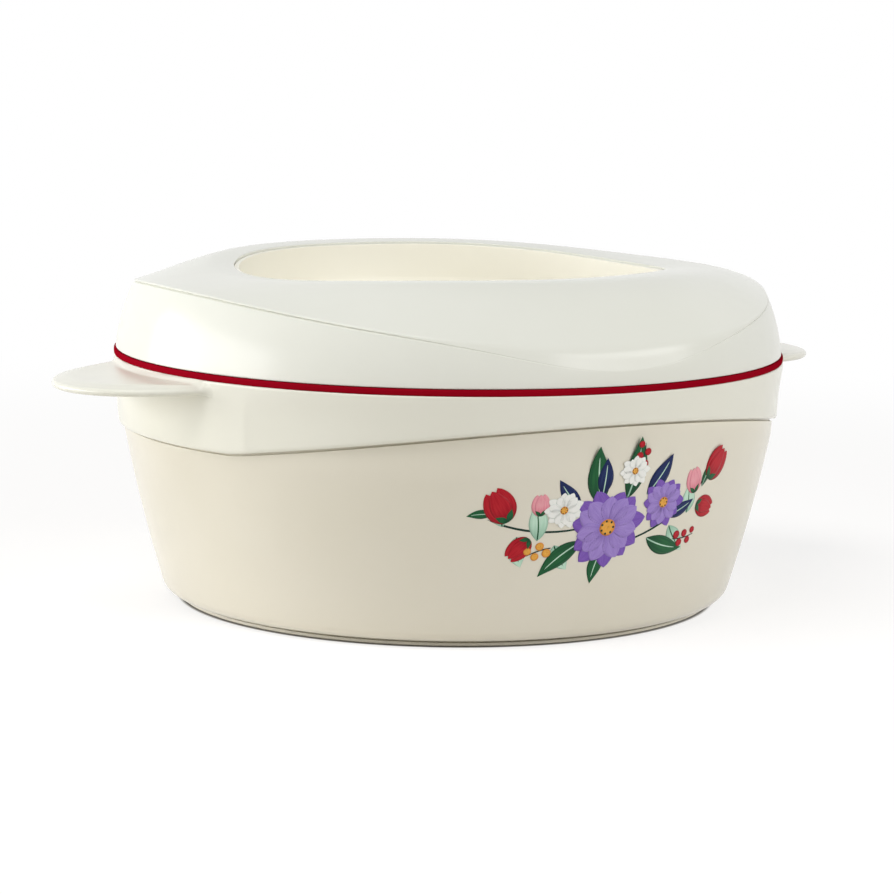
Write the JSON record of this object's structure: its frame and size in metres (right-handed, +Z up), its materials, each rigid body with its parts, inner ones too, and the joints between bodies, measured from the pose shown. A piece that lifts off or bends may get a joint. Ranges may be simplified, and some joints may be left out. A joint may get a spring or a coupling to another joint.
{
  "type": "insulated chapati casserole",
  "caption": "Round insulated casserole for flatbreads: foam-filled plastic body with ear handles and a steel bowl, and a foam-filled lift-off lid with a recessed dish in its top.",
  "frame": {"origin": "centre of the foot ring's underside, which is the centre of the bottom of the bounding box", "axes": "+Z up; +X through the two ear handles, the longest extent; -Y is the printed front, with the arched collar edge"},
  "size_m": [0.339, 0.2706, 0.1368],
  "materials": {
    "body_plastic": "glossy warm cream polypropylene, as moulded",
    "collar_plastic": "glossy cream polypropylene, as moulded",
    "trim_plastic": "glossy crimson plastic",
    "bowl_steel": "bright stainless steel, spun and polished",
    "insulation_foam": "pale yellow rigid polyurethane foam",
    "lid_plastic": "glossy cream-white polypropylene, as moulded",
    "dish_plastic": "glossy warm ivory polypropylene",
    "liner_plastic": "white food-grade polypropylene",
    "plug_plastic": "cream polypropylene"
  },
  "bodies": {
    "body": {"outer_shell": "body_plastic", "handle_collar": "collar_plastic", "trim_ring": "trim_plastic", "inner_bowl": "bowl_steel", "body_foam": "insulation_foam", "body_foam_plug": "plug_plastic"},
    "lid": {"lid_shell": "lid_plastic", "lid_dish": "dish_plastic", "lid_liner": "liner_plastic", "lid_foam": "insulation_foam", "lid_foam_plug": "plug_plastic"}
  },
  "joints": [
    {"name": "lid_lift", "type": "slide", "parent": "body", "child": "lid", "axis": [0, 0, 1], "range_m": [0, 0.16]}
  ]
}
